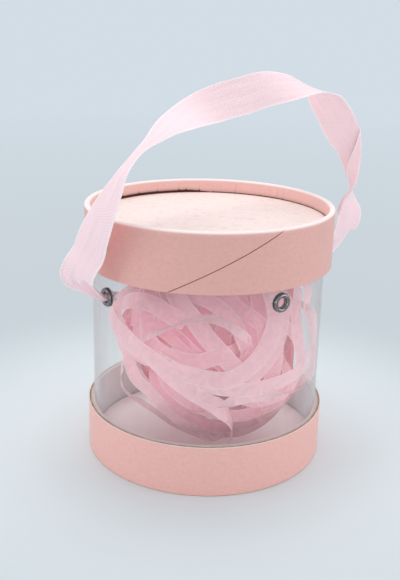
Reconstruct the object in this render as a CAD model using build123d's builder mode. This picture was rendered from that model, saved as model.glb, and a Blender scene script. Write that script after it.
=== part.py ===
from build123d import *
import os
from math import cos, sin, radians

os.makedirs("parts", exist_ok=True)

# Cylindrical gift tube box: a clear rolled tube in a paper covered board base, closed by a
# paper covered lift off lid, carried by a satin ribbon and filled with shredded tissue.
# Frame: the origin is the centre of the underside, +Z is up, and the ribbon's eyelets lie on X.

# Overall sizes
overall_height = 105.0
lid_height = 23.0
lid_recess = 6.0
base_height = 21.0

# Clear tube, rolled from sheet with an overlapping seam
tube_outer_radius = 47.5
tube_wall = 0.4
tube_seam_width = 6.0
tube_seam_angle = 304.0

# Board and paper
board_thickness = 1.8
base_disc_thickness = 3.0
cover_paper = 0.25
lining_paper = 0.2
rim_round = 0.8

# Fits
glue_line = 0.05
lid_fit = 0.45
lid_seat_gap = 0.3
facing_groove = 0.3
cut_overrun = 1.0

# Eyelets and their washers. The ribbon's two hang a little lower than the two free ones.
eyelet_drop = 9.5
free_eyelet_drop = 6.0
eyelet_bore_radius = 2.0
eyelet_barrel_wall = 0.3
eyelet_flange_radius = 3.75
eyelet_flange_height = 0.8
eyelet_edge_round = 0.3
eyelet_roll_radius = 3.0
eyelet_roll_height = 0.4
eyelet_seat_gap = 0.03
eyelet_hole_gap = 0.1
washer_thickness = 0.4
washer_fit = 0.05

# Ribbon handle
ribbon_width = 15.0
ribbon_thickness = 0.5
ribbon_headroom = 44.4
ribbon_neck_width = 2.4
ribbon_neck_thickness = 2.2
ribbon_neck_gap = 0.5
knot_width = 5.0
knot_length = 4.2
knot_gap = 0.3

# Shredded tissue
shred_thickness = 0.15
shred_width = 8.0
shred_pitch = 0.6
shred_wall_gap = 0.75
shred_floor_gap = 0.3
shred_nest_height = 58.0

# Levels and radii that follow from the sizes above
base_disc_top = cover_paper + base_disc_thickness
floor_top = base_disc_top + lining_paper
base_bore = tube_outer_radius + glue_line
base_board_inner = base_bore + lining_paper
base_board_outer = base_board_inner + board_thickness
base_outer = base_board_outer + cover_paper
tube_inner_radius = tube_outer_radius - tube_wall

lid_bottom = overall_height - lid_height
lid_bore = tube_outer_radius + lid_fit
lid_board_inner = lid_bore + lining_paper
lid_board_outer = lid_board_inner + board_thickness
lid_outer = lid_board_outer + cover_paper
lid_band_inner = lid_board_inner - cover_paper
lid_facing_top = overall_height - lid_recess
lid_disc_top = lid_facing_top - cover_paper
lid_disc_bottom = lid_disc_top - board_thickness
lid_ceiling = lid_disc_bottom - lining_paper
tube_top = lid_ceiling - lid_seat_gap

eyelet_height = lid_bottom - eyelet_drop
eyelet_barrel_radius = eyelet_bore_radius + eyelet_barrel_wall
eyelet_hole_radius = eyelet_barrel_radius + eyelet_hole_gap
flange_back = tube_outer_radius + eyelet_seat_gap
flange_face = flange_back + eyelet_flange_height
washer_face = (tube_inner_radius ** 2 - eyelet_flange_radius ** 2) ** 0.5 - eyelet_seat_gap
washer_back = washer_face - washer_thickness
roll_face = washer_back - eyelet_roll_height
eyelet_angles = {"left": 180, "right": 0, "front": 270, "back": 90}
free_eyelet_height = lid_bottom - free_eyelet_drop
eyelet_heights = {
    "left": eyelet_height,
    "right": eyelet_height,
    "front": free_eyelet_height,
    "back": free_eyelet_height,
}


def ring_section(inner, outer, bottom, top):
    """Draws the half section of a ring or disc, between two radii and two heights."""
    with Locations((inner, bottom)):
        Rectangle(outer - inner, top - bottom, align=(Align.MIN, Align.MIN))


def save(part, name):
    """Labels a finished piece and writes its file."""
    part.label = name
    export_step(part, f"parts/{name}.step")


# Base ring: a board tube whose cut edge shows on top
with BuildPart() as base_ring:
    with BuildSketch(Plane.XZ):
        ring_section(base_board_inner, base_board_outer, cover_paper, base_height)
    revolve(axis=Axis.Z)
save(base_ring.part, "base_ring")

# Base wrap: cover paper round the ring, turned in under it
with BuildPart() as base_wrap:
    with BuildSketch(Plane.XZ):
        ring_section(base_board_outer, base_outer, 0, base_height)
        ring_section(base_board_inner, base_board_outer, 0, cover_paper)
    revolve(axis=Axis.Z)
save(base_wrap.part, "base_wrap")

# Base liner: white paper on the ring's inside, above the disc
with BuildPart() as base_liner:
    with BuildSketch(Plane.XZ):
        ring_section(base_bore, base_board_inner, base_disc_top, base_height)
    revolve(axis=Axis.Z)
save(base_liner.part, "base_liner")

# Base disc: thick board glued inside the ring
with BuildPart() as base_disc:
    with BuildSketch(Plane.XY.offset(cover_paper)):
        Circle(base_board_inner - glue_line)
    extrude(amount=base_disc_thickness)
save(base_disc.part, "base_disc")

# Base facing: paper on the underside, level with the turned in wrap
with BuildPart() as base_facing:
    with BuildSketch(Plane.XY):
        Circle(base_board_inner - glue_line)
    extrude(amount=cover_paper)
save(base_facing.part, "base_facing")

# Floor paper: white lining inside the tube, on the disc
with BuildPart() as floor_paper:
    with BuildSketch(Plane.XY.offset(base_disc_top)):
        Circle(tube_inner_radius - tube_wall - glue_line)
    extrude(amount=lining_paper)
save(floor_paper.part, "floor_paper")

# Clear tube: one sheet, doubled inside along its seam, with four eyelet holes
with BuildPart() as clear_tube:
    with BuildSketch(Plane.XY.offset(base_disc_top)):
        Circle(tube_outer_radius)
        Circle(tube_inner_radius, mode=Mode.SUBTRACT)
    extrude(amount=tube_top - base_disc_top)
    with BuildSketch(Plane.XY.rotated((0, 0, tube_seam_angle)).offset(base_disc_top)) as seam:
        Circle(tube_inner_radius)
        Circle(tube_inner_radius - tube_wall, mode=Mode.SUBTRACT)
        with Locations((tube_inner_radius, 0)):
            Rectangle(tube_inner_radius, tube_seam_width, mode=Mode.INTERSECT)
    extrude(amount=tube_top - base_disc_top)
    for side, angle in eyelet_angles.items():
        hole_plane = Plane(
            origin=(0, 0, eyelet_heights[side]),
            x_dir=(0, 0, 1),
            z_dir=(cos(radians(angle)), sin(radians(angle)), 0),
        )
        with BuildSketch(hole_plane):
            Circle(eyelet_hole_radius)
        extrude(amount=tube_outer_radius + cut_overrun, mode=Mode.SUBTRACT)
save(clear_tube.part, "clear_tube")

# Eyelets and washers: each is turned about its own axis through the tube wall
for side, angle in eyelet_angles.items():
    outward = (cos(radians(angle)), sin(radians(angle)), 0)
    section_plane = Plane(
        origin=(0, 0, eyelet_heights[side]),
        x_dir=outward,
        z_dir=(sin(radians(angle)), -cos(radians(angle)), 0),
    )
    eyelet_axis = Axis((0, 0, eyelet_heights[side]), outward)
    with BuildPart() as eyelet:
        with BuildSketch(section_plane):
            with BuildLine():
                Polyline(
                    (roll_face, eyelet_bore_radius),
                    (flange_face, eyelet_bore_radius),
                    (flange_face, eyelet_flange_radius),
                    (flange_back, eyelet_flange_radius),
                    (flange_back, eyelet_barrel_radius),
                    (washer_back, eyelet_barrel_radius),
                    (washer_back, eyelet_roll_radius),
                    (roll_face, eyelet_roll_radius),
                    close=True,
                )
            make_face()
        revolve(axis=eyelet_axis)
        flange_edges = eyelet.edges().filter_by(GeomType.CIRCLE).sort_by(eyelet_axis)[-2:]
        fillet(flange_edges, eyelet_edge_round)
    save(eyelet.part, f"eyelet_{side}")

    with BuildPart() as washer:
        with BuildSketch(section_plane):
            with BuildLine():
                Polyline(
                    (washer_back, eyelet_barrel_radius + washer_fit),
                    (washer_face, eyelet_barrel_radius + washer_fit),
                    (washer_face, eyelet_flange_radius),
                    (washer_back, eyelet_flange_radius),
                    close=True,
                )
            make_face()
        revolve(axis=eyelet_axis)
    save(washer.part, f"washer_{side}")

# Lid ring: a board tube with a softened top rim
with BuildPart() as lid_ring:
    with BuildSketch(Plane.XZ):
        ring_section(lid_board_inner, lid_board_outer, lid_bottom, overall_height - cover_paper)
    revolve(axis=Axis.Z)
    fillet(lid_ring.faces().sort_by(Axis.Z)[-1].edges(), rim_round)
save(lid_ring.part, "lid_ring")

# Lid wrap: cover paper up the outside, over the rim and down into the recess
with BuildPart() as lid_wrap:
    with BuildSketch(Plane.XZ):
        ring_section(lid_band_inner, lid_outer, lid_bottom, overall_height)
    revolve(axis=Axis.Z)
    fillet(lid_wrap.faces().sort_by(Axis.Z)[-1].edges(), rim_round + cover_paper)
    with BuildSketch(Plane.XZ):
        ring_section(lid_band_inner, lid_board_outer, lid_bottom, lid_facing_top + facing_groove)
    revolve(axis=Axis.Z, mode=Mode.SUBTRACT)
    add(lid_ring.part, mode=Mode.SUBTRACT)
save(lid_wrap.part, "lid_wrap")

# Lid disc: board glued across the ring, with paper on both faces
with BuildPart() as lid_disc:
    with BuildSketch(Plane.XY.offset(lid_disc_bottom)):
        Circle(lid_board_inner - glue_line)
    extrude(amount=board_thickness)
save(lid_disc.part, "lid_disc")

with BuildPart() as lid_facing:
    with BuildSketch(Plane.XY.offset(lid_disc_top)):
        Circle(lid_band_inner - facing_groove)
    extrude(amount=cover_paper)
save(lid_facing.part, "lid_facing")

with BuildPart() as lid_ceiling_paper:
    with BuildSketch(Plane.XY.offset(lid_ceiling)):
        Circle(lid_bore - glue_line)
    extrude(amount=lining_paper)
save(lid_ceiling_paper.part, "lid_ceiling_paper")

# Lid liner: white paper inside the skirt
with BuildPart() as lid_liner:
    with BuildSketch(Plane.XZ):
        ring_section(lid_bore, lid_board_inner, lid_bottom, lid_disc_bottom)
    revolve(axis=Axis.Z)
save(lid_liner.part, "lid_liner")

# Ribbon handle. Each row places the middle of the ribbon: out along X and Y in shares of the
# lid's radius, up from the eyelets in shares of the ribbon's rise, then its turn about its own
# run in degrees and its gathered width as a share of the full width.
ribbon_rise = overall_height - eyelet_height + ribbon_headroom
ribbon_route_shares = [
    (-1.09, 0.00, 0.05, 25, 0.50),
    (-1.19, 0.00, 0.11, 32, 0.90),
    (-1.20, -0.06, 0.18, 23, 1.00),
    (-1.16, -0.13, 0.27, 19, 1.00),
    (-1.15, -0.22, 0.376, 11, 1.00),
    (-1.12, -0.30, 0.488, 3, 1.00),
    (-1.06, -0.33, 0.586, -3, 0.90),
    (-0.98, -0.32, 0.666, -13, 0.75),
    (-0.83, -0.26, 0.731, -16, 0.66),
    (-0.63, -0.18, 0.785, -2, 0.75),
    (-0.42, -0.09, 0.84, 20, 0.90),
    (-0.18, -0.03, 0.89, 38, 1.00),
    (0.07, 0.00, 0.93, 61, 1.00),
    (0.31, 0.00, 0.96, 70, 1.00),
    (0.53, 0.00, 0.99, 60, 1.00),
    (0.75, 0.00, 1.00, 42, 1.00),
    (0.93, 0.00, 1.00, 22, 1.00),
    (1.08, 0.00, 0.97, 0, 1.00),
    (1.20, 0.01, 0.91, -29, 1.00),
    (1.31, 0.01, 0.83, -44, 1.00),
    (1.41, 0.01, 0.74, -60, 1.00),
    (1.48, -0.01, 0.64, -56, 0.72),
    (1.49, -0.06, 0.54, -18, 0.52),
    (1.47, -0.12, 0.44, 26, 0.50),
    (1.44, -0.13, 0.34, 82, 0.66),
    (1.44, -0.14, 0.26, 89, 0.96),
    (1.41, -0.12, 0.17, 80, 1.00),
    (1.38, -0.04, 0.09, 65, 0.85),
    (1.24, 0.00, 0.04, 90, 0.60),
    (1.11, 0.00, 0.015, 90, 0.40),
]
ribbon_end = flange_face + ribbon_neck_gap
ribbon_steps = 4
knot_outer = roll_face - knot_gap
knot_shape_share = [(0.0, 0.5), (0.2, 0.9), (0.5, 1.0), (0.8, 0.9), (1.0, 0.5)]


def ribbon_rows():
    """Gives the ribbon's places in real sizes, from where it leaves one eyelet to the other."""
    rows = []
    for out_x, out_y, up, turn, gather in ribbon_route_shares:
        place = (out_x * lid_outer, out_y * lid_outer, eyelet_height + up * ribbon_rise)
        rows.append((*place, turn, gather * ribbon_width, ribbon_thickness))
    neck = (ribbon_neck_width, ribbon_neck_thickness)
    rows.insert(0, (-ribbon_end, 0, eyelet_height, rows[0][3], *neck))
    rows.append((ribbon_end, 0, eyelet_height, rows[-1][3], *neck))
    return rows


def smooth_between(before, start, end, after, t):
    """Gives one value of a smooth curve from start to end, with a slope set by the neighbours."""
    linear = (end - before) * t
    square = (2 * before - 5 * start + 4 * end - after) * t ** 2
    cube = (3 * start - before - 3 * end + after) * t ** 3
    return start + (linear + square + cube) / 2


def ribbon_plane(place, run, turn):
    """Gives the plane across the ribbon at a place, turned about the ribbon's own run."""
    across = (Vector(0, 1, 0) - run * run.Y).normalized()
    outward = across.cross(run) * -1
    width_way = across * cos(radians(turn)) + outward * sin(radians(turn))
    return Plane(origin=place, x_dir=width_way, z_dir=run)


def knot_sections(side, turn):
    """Gives the sections of one knot, from its inner end out to the eyelet's bore."""
    sections = []
    for along, size in knot_shape_share:
        out = knot_outer - (1 - along) * knot_length
        plane = ribbon_plane((side * out, 0, eyelet_height), Vector(-1, 0, 0), turn)
        sections.append((plane, size * knot_width, size * knot_width))
    return sections


def ribbon_sections():
    """Gives a plane, a width and a thickness for each section, knot to knot."""
    rows = ribbon_rows()
    last = len(rows) - 1
    smooth = []
    for i in range(last):
        near = (rows[max(i - 1, 0)], rows[i], rows[i + 1], rows[min(i + 2, last)])
        for step in range(ribbon_steps):
            t = step / ribbon_steps
            smooth.append([smooth_between(*values, t) for values in zip(*near)])
    smooth.append(rows[last])
    sections = knot_sections(-1, rows[0][3])
    for i, (x, y, z, turn, width, thickness) in enumerate(smooth):
        behind = Vector(*smooth[max(i - 1, 0)][:3])
        ahead = Vector(*smooth[min(i + 1, len(smooth) - 1)][:3])
        at_end = i in (0, len(smooth) - 1)
        run = Vector(-1, 0, 0) if at_end else (ahead - behind).normalized()
        sections.append((ribbon_plane((x, y, z), run, turn), width, thickness))
    return sections + knot_sections(1, rows[last][3])[::-1]


with BuildPart() as ribbon_handle:
    for section_plane, width, thickness in ribbon_sections():
        with BuildSketch(section_plane):
            Rectangle(width, thickness)
    loft(ruled=True)
save(ribbon_handle.part, "ribbon_handle")

# Shredded tissue: each shred is a strip on its own bowl shaped shell, and the shells nest with a
# step between them. Shares set how far each strip leans from straight across and how wide it is.
shred_lean_share = [0.66, 0.06, 0.75, 0.50, 0.88, 0.38]
shred_width_share = [0.88, 0.62, 0.80, 0.55, 1.00, 0.70]
shred_turn_angle = 137.5
shred_reach_angle = 98.0
shred_section_count = 25
shred_layers = {
    "outer": range(1, 9),
    "middle": range(9, 17),
    "inner": range(17, 25),
    "core": range(25, 31),
}
nest_radius = tube_inner_radius - shred_wall_gap
nest_depth = shred_nest_height - floor_top - shred_floor_gap


def shred_planes(number):
    """Gives the section planes of one strip, from wall to wall through the bottom of its shell."""
    radius = nest_radius - (number - 1) * shred_pitch
    depth = nest_depth - (number - 1) * shred_pitch
    turn = radians(number * shred_turn_angle)
    lean = radians(90 * shred_lean_share[number % len(shred_lean_share)])
    start_way = Vector(cos(turn), sin(turn), 0)
    side_way = Vector(-sin(turn), cos(turn), 0)
    low_way = side_way * sin(lean) - Vector(0, 0, 1) * cos(lean)
    planes = []
    for step in range(shred_section_count):
        t = radians(shred_reach_angle * (2 * step / (shred_section_count - 1) - 1))
        on_ball = low_way * cos(t) + start_way * sin(t)
        along_ball = start_way * cos(t) - low_way * sin(t)
        place = (on_ball.X * radius, on_ball.Y * radius, on_ball.Z * depth + shred_nest_height)
        run = Vector(along_ball.X * radius, along_ball.Y * radius, along_ball.Z * depth)
        outward = Vector(on_ball.X / radius, on_ball.Y / radius, on_ball.Z / depth)
        planes.append(Plane(origin=place, x_dir=run.cross(outward), z_dir=run))
    return planes


for layer, numbers in shred_layers.items():
    with BuildPart() as shreds:
        strips = []
        for number in numbers:
            width = shred_width * shred_width_share[number % len(shred_width_share)]
            for section_plane in shred_planes(number):
                with BuildSketch(section_plane):
                    Rectangle(width, shred_thickness)
            strips.append(loft(ruled=True, clean=False, mode=Mode.PRIVATE))
        add(strips, clean=False)
    save(shreds.part, f"shreds_{layer}")
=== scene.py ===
import math
import random

import bpy
from mathutils import Matrix, Vector


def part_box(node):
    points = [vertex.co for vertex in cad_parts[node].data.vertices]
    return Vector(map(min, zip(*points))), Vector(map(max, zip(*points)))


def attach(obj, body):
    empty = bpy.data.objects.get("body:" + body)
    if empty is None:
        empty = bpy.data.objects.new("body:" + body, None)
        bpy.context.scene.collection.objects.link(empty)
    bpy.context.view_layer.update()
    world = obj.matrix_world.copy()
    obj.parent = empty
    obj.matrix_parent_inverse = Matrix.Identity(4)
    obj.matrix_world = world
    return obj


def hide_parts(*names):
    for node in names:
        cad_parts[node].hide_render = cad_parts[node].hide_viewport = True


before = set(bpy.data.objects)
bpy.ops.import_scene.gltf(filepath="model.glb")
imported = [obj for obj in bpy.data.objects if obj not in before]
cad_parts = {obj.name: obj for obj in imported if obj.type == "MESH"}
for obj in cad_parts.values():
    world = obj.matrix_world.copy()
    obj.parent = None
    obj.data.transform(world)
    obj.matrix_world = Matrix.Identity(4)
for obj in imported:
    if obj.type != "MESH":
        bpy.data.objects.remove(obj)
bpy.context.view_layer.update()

random.seed(27)
print("frame loaded:", len(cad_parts), "nodes")

# Sizes that the frame gives
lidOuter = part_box("lid_wrap")[1].x
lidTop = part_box("lid_wrap")[1].z
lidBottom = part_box("lid_wrap")[0].z
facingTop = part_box("lid_facing")[1].z
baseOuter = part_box("base_wrap")[1].x
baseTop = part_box("base_wrap")[1].z
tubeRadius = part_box("clear_tube")[1].x
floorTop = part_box("floor_paper")[1].z
eyeletHeight = (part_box("eyelet_left")[0].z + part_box("eyelet_left")[1].z) / 2
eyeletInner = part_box("eyelet_right")[0].x
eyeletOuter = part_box("eyelet_right")[1].x


# Camera, at the photo's angle
camera = {
    "azimuth": 325.0,
    "elevation": 18.334,
    "roll": 1.421,
    "distance": 0.343463,
    "lens": 51.10,
    "sensor": 36.0,  # millimetres, over the frame's longer side
    "target": (-0.002516, 0.001762, 0.067324),
    "frameWidth": 400,
    "frameHeight": 580,
}


def cameraAxes():
    turn = math.radians(camera["azimuth"])
    lift = math.radians(camera["elevation"])
    roll = math.radians(camera["roll"])
    back = Vector((math.sin(turn) * math.cos(lift), -math.cos(turn) * math.cos(lift), math.sin(lift)))
    level = Vector((math.cos(turn), math.sin(turn), 0))
    upright = back.cross(level)
    right = level * math.cos(roll) + upright * math.sin(roll)
    up = upright * math.cos(roll) - level * math.sin(roll)
    return right, up, back


def placeCamera():
    right, up, back = cameraAxes()
    eye = Vector(camera["target"]) + back * camera["distance"]
    data = bpy.data.cameras.new("photoCamera")
    data.lens = camera["lens"]
    data.sensor_width = camera["sensor"]
    data.clip_start = 0.01
    data.clip_end = 20
    item = bpy.data.objects.new("photoCamera", data)
    bpy.context.scene.collection.objects.link(item)
    item.matrix_world = Matrix((
        (right.x, up.x, back.x, eye.x),
        (right.y, up.y, back.y, eye.y),
        (right.z, up.z, back.z, eye.z),
        (0, 0, 0, 1),
    ))
    bpy.context.scene.camera = item
    return eye


def pixelRay(px, py):
    # direction from the camera through a pixel of the photo's frame
    right, up, back = cameraAxes()
    focal = camera["lens"] / camera["sensor"] * camera["frameHeight"]
    across = (px - camera["frameWidth"] / 2) / focal
    rise = (camera["frameHeight"] / 2 - py) / focal
    return (right * across + up * rise - back).normalized()


cameraEye = placeCamera()


# Small helpers for colours, nodes and meshes
def srgb(colour):
    # a colour as read off a screen, 0 to 255, made linear
    shares = [value / 255 for value in colour]
    linear = [share / 12.92 if share <= 0.04045 else ((share + 0.055) / 1.055) ** 2.4 for share in shares]
    return (*linear, 1.0)


def keepShare(value):
    # a value held between nothing and one
    return max(0.0, min(1.0, value))


def fillSockets(tree, node, inputs):
    # an input that is given a socket is linked to it, and any other takes its plain value
    for key, value in inputs.items():
        if isinstance(value, bpy.types.NodeSocket):
            tree.links.new(value, node.inputs[key])
        else:
            node.inputs[key].default_value = value


def addNode(tree, kind, inputs=None, **settings):
    made = tree.nodes.new("ShaderNode" + kind)
    for key, value in settings.items():
        setattr(made, key, value)
    fillSockets(tree, made, inputs or {})
    return made


def startMaterial(name):
    made = bpy.data.materials.new(name)
    made.use_nodes = True
    tree = made.node_tree
    shader = tree.nodes["Principled BSDF"]
    return made, tree, shader


def startGroup(name, wanted, given):
    made = bpy.data.node_groups.new(name, "ShaderNodeTree")
    for label, kind, value in wanted:
        socket = made.interface.new_socket(label, in_out="INPUT", socket_type="NodeSocket" + kind)
        if value is not None:
            socket.default_value = value
    for label in given:
        made.interface.new_socket(label, in_out="OUTPUT", socket_type="NodeSocketFloat")
    entry = made.nodes.new("NodeGroupInput")
    leave = made.nodes.new("NodeGroupOutput")
    return made, entry, leave


def useGroup(tree, group, inputs):
    return addNode(tree, "Group", inputs, node_tree=group).outputs


def calculate(tree, operation, *values, clamp=False):
    made = addNode(tree, "Math", dict(enumerate(values)), operation=operation, use_clamp=clamp)
    return made.outputs[0]


def noise(tree, place, scale, detail, roughness=0.5, distortion=0.0):
    made = addNode(tree, "TexNoise", {"Vector": place, "Scale": scale, "Detail": detail,
                                      "Roughness": roughness, "Distortion": distortion})
    return made.outputs["Fac"]


def mixColour(tree, factor, first, second, blend="MIX"):
    made = addNode(tree, "Mix", {0: factor, 6: first, 7: second}, data_type="RGBA", blend_type=blend)
    return made.outputs[2]


def shadeColour(tree, colour, amount):
    # lighter or darker by an amount that changes over the surface
    return mixColour(tree, 1.0, colour, amount, "MULTIPLY")


def mapRange(tree, value, low, high, toLow, toHigh):
    made = addNode(tree, "MapRange", {"Value": value, "From Min": low, "From Max": high,
                                      "To Min": toLow, "To Max": toHigh})
    return made.outputs["Result"]


def bump(tree, height, depth):
    return addNode(tree, "Bump", {"Height": height, "Distance": depth}).outputs["Normal"]


def objectPlace(tree):
    return addNode(tree, "TexCoord").outputs["Object"]


def stripPlace(tree):
    # across and along a strip, in metres
    return addNode(tree, "UVMap", uv_map="strip").outputs["UV"]


def readMark(tree, name):
    return addNode(tree, "Attribute", attribute_name=name).outputs["Fac"]


def writeMarks(piece, name, marks):
    layer = piece.data.attributes.new(name, "FLOAT", "POINT")
    layer.data.foreach_set("value", marks)


def makeActive(piece):
    bpy.ops.object.select_all(action="DESELECT")
    piece.select_set(True)
    bpy.context.view_layer.objects.active = piece


def smoothFaces(piece, sharpAngle):
    makeActive(piece)
    bpy.ops.object.shade_smooth_by_angle(angle=math.radians(sharpAngle))


def giveThickness(piece, thickness, offset):
    makeActive(piece)
    wall = piece.modifiers.new("wall", "SOLIDIFY")
    wall.thickness = thickness
    wall.offset = offset
    bpy.ops.object.modifier_apply(modifier=wall.name)
    smoothFaces(piece, 50)


def giveMaterial(piece, material):
    piece.data.materials.clear()
    piece.data.materials.append(material)


def finishPiece(piece, body, material, stands):
    giveMaterial(piece, material)
    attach(piece, body)
    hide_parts(*stands)


# Grain that the papers, the board and the metal share
def makePaperGrain():
    group, entry, leave = startGroup(
        "paperGrain",
        [("Vector", "Vector", None), ("Grain", "Float", 900.0), ("Mottle", "Float", 160.0)],
        ["Mottle", "Fibre", "Height"],
    )
    place = entry.outputs["Vector"]
    mottle = noise(group, place, entry.outputs["Mottle"], 5.0, roughness=0.6, distortion=0.4)
    fibre = noise(group, place, entry.outputs["Grain"], 6.0, roughness=0.7, distortion=1.2)
    height = calculate(group, "MULTIPLY_ADD", fibre, 0.55, calculate(group, "MULTIPLY", mottle, 0.45))
    fillSockets(group, leave, {"Mottle": mottle, "Fibre": fibre, "Height": height})
    return group


paperGrain = makePaperGrain()


def makePaper(name, look):
    # mottled paper: two close tones, a fine emboss, short wrinkles, and where a piece is marked, a darker
    # colour for painted shade and joint lines and a pale one for cut edges and painted highlight
    made, tree, shader = startMaterial(name)
    turn = (0, 0, math.radians(look["turn"]))
    turned = addNode(tree, "Mapping", {"Vector": objectPlace(tree), "Rotation": turn,
                                       "Scale": look["spread"]}, vector_type="TEXTURE").outputs[0]
    grain = useGroup(tree, paperGrain, {"Vector": turned, "Grain": look["grain"], "Mottle": look["mottle"]})
    spread = mapRange(tree, grain["Mottle"], 0.35, 0.65, 0, 1)
    colour = mixColour(tree, spread, srgb(look["dark"]), srgb(look["light"]))
    speck = mapRange(tree, grain["Fibre"], 0.3, 0.7, 1 - look["speck"], 1 + look["speck"])
    colour = shadeColour(tree, colour, speck)
    lines = addNode(tree, "Mapping", {"Vector": turned, "Scale": look["lineSpread"]},
                    vector_type="TEXTURE").outputs[0]
    wrinkle = noise(tree, lines, look["wrinkle"], 3.0, distortion=0.8)
    ridge = mapRange(tree, wrinkle, 0.56, 0.66, 0, 1)
    dip = mapRange(tree, wrinkle, 0.36, 0.44, look["lineShade"], 1)
    colour = shadeColour(tree, colour, dip)
    # painted shade, and a joint's dark line, where a piece is marked for them
    colour = mixColour(tree, readMark(tree, "jointAndShade"), colour, srgb(look["jointAndShade"]))
    # a pale cut edge, and painted highlight, where a piece is marked for them
    colour = mixColour(tree, readMark(tree, "cut"), colour, srgb(look["cut"]))
    height = calculate(tree, "MULTIPLY_ADD", ridge, look["lineHeight"], grain["Height"])
    fillSockets(tree, shader, {
        "Base Color": colour,
        "Roughness": mapRange(tree, grain["Fibre"], 0.3, 0.7, look["rough"] - 0.06, look["rough"] + 0.08),
        "Specular IOR Level": look["gloss"],
        "Sheen Weight": look["sheen"],
        "Sheen Roughness": 0.5,
        "Normal": bump(tree, height, look["depth"]),
    })
    return made


coverLook = {
    "turn": -35.0,  # degrees round Z, so that the wrinkles run across the photo's view
    # the darkest colour paints shade and the joint's dark line; the palest paints a cut edge and highlight
    "light": (247, 195, 188), "dark": (242, 186, 178), "jointAndShade": (140, 74, 62), "cut": (255, 246, 244),
    "grain": 2300.0, "mottle": 700.0, "speck": 0.03, "spread": (1.0, 1.0, 0.6),
    "lineSpread": (3.0, 3.0, 0.6), "wrinkle": 420.0, "lineShade": 0.985, "lineHeight": 0.5,
    "rough": 0.55, "gloss": 0.35, "sheen": 0.1, "depth": 0.00007,
}
# the facing's paper is painted paler than the side's: partly a paler paper, partly painted light on the
# lid's top
facingLook = dict(coverLook, light=(252, 239, 235), dark=(251, 228, 222), spread=(1.0, 1.0, 1.0),
                  lineSpread=(1.6, 1.0, 1.0), wrinkle=380.0, lineShade=0.91, rough=0.5, depth=0.00016)
whiteLook = {
    "turn": -35.0,
    "light": (252, 242, 243), "dark": (248, 235, 237), "jointAndShade": (190, 180, 180), "cut": (245, 243, 240),
    "grain": 900.0, "mottle": 60.0, "speck": 0.02, "spread": (1.0, 1.0, 1.0),
    "lineSpread": (1.0, 1.0, 1.0), "wrinkle": 60.0, "lineShade": 0.99, "lineHeight": 0.2,
    "rough": 0.6, "gloss": 0.3, "sheen": 0.0, "depth": 0.00005,
}
coverPaper = makePaper("coverPaper", coverLook)
facingPaper = makePaper("facingPaper", facingLook)
whitePaper = makePaper("whitePaper", whiteLook)


def makeBoard(look):
    # grey brown board, wound in plies that show as rings on its cut edge, with painted shade above the
    # facing where it lies behind the band
    made, tree, shader = startMaterial("kraftBoard")
    place = objectPlace(tree)
    grain = useGroup(tree, paperGrain, {"Vector": place, "Grain": look["grain"], "Mottle": look["mottle"]})
    flat = addNode(tree, "VectorMath", {0: place, 1: (1, 1, 0)}, operation="MULTIPLY").outputs[0]
    radius = addNode(tree, "VectorMath", {0: flat}, operation="LENGTH").outputs["Value"]
    wander = calculate(tree, "MULTIPLY_ADD", grain["Mottle"], look["wander"], radius)
    wave = calculate(tree, "SINE", calculate(tree, "MULTIPLY", wander, 2 * math.pi / look["ply"]))
    plies = mapRange(tree, wave, -0.9, 0.4, 0, 1)
    colour = mixColour(tree, plies, srgb(look["gap"]), srgb(look["board"]))
    patch = mapRange(tree, grain["Mottle"], 0.45, 0.62, 0, 0.8)
    colour = mixColour(tree, patch, colour, srgb(look["pulp"]))
    inner = mapRange(tree, wander, look["plyEdge"], look["plyEdge"] + look["plyFade"], 1, 0)
    colour = mixColour(tree, inner, colour, srgb(look["innerPly"]))
    height = addNode(tree, "SeparateXYZ", {0: place}).outputs["Z"]
    # painted shade on the board above the facing, behind the band
    shadedBehindBand = mapRange(tree, height, facingTop - look["shadeFade"], facingTop, 0, 1)
    colour = mixColour(tree, shadedBehindBand, colour, srgb(look["shadeBehindBand"]))
    colour = shadeColour(tree, colour, mapRange(tree, grain["Fibre"], 0.35, 0.65, 0.75, 1.12))
    fillSockets(tree, shader, {
        "Base Color": colour,
        "Roughness": 0.9,
        "Specular IOR Level": 0.2,
        "Normal": bump(tree, grain["Height"], look["depth"]),
    })
    return made


kraftBoard = makeBoard({
    "board": (178, 158, 136), "gap": (120, 100, 82), "pulp": (206, 192, 176),
    "grain": 2200.0, "mottle": 500.0, "depth": 0.0002, "ply": 0.00045, "wander": 0.0004,
    "innerPly": (222, 214, 208), "plyEdge": 0.0489, "plyFade": 0.0002,  # pale inside this radius
    "shadeBehindBand": (96, 58, 50), "shadeFade": 0.0003,  # painted shade: dark above the facing, behind the band
})


def makeMetal(look):
    # polished metal, its colour kept dark as painted reflection of dark surroundings, faintly mottled and a
    # little duller in fine specks
    made, tree, shader = startMaterial("eyeletMetal")
    grain = useGroup(tree, paperGrain, {"Vector": objectPlace(tree), "Grain": 3000.0, "Mottle": 700.0})
    fillSockets(tree, shader, {
        "Base Color": mixColour(tree, grain["Mottle"], srgb(look["dark"]), srgb(look["light"])),
        "Metallic": 1.0,
        "Roughness": mapRange(tree, grain["Fibre"], 0.3, 0.7, look["rough"] - 0.04, look["rough"] + 0.08),
        "Normal": bump(tree, grain["Height"], 0.00002),
    })
    return made


eyeletMetal = makeMetal({"light": (158, 152, 153), "dark": (118, 112, 114), "rough": 0.12})


def passLight(tree, alpha, kept):
    # lamps and bounced light pass a thin sheet more freely than sight does
    path = addNode(tree, "LightPath").outputs
    passing = calculate(tree, "MAXIMUM", path["Is Shadow Ray"], path["Is Diffuse Ray"])
    return calculate(tree, "MULTIPLY", alpha, mapRange(tree, passing, 0, 1, 1, kept))


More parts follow.
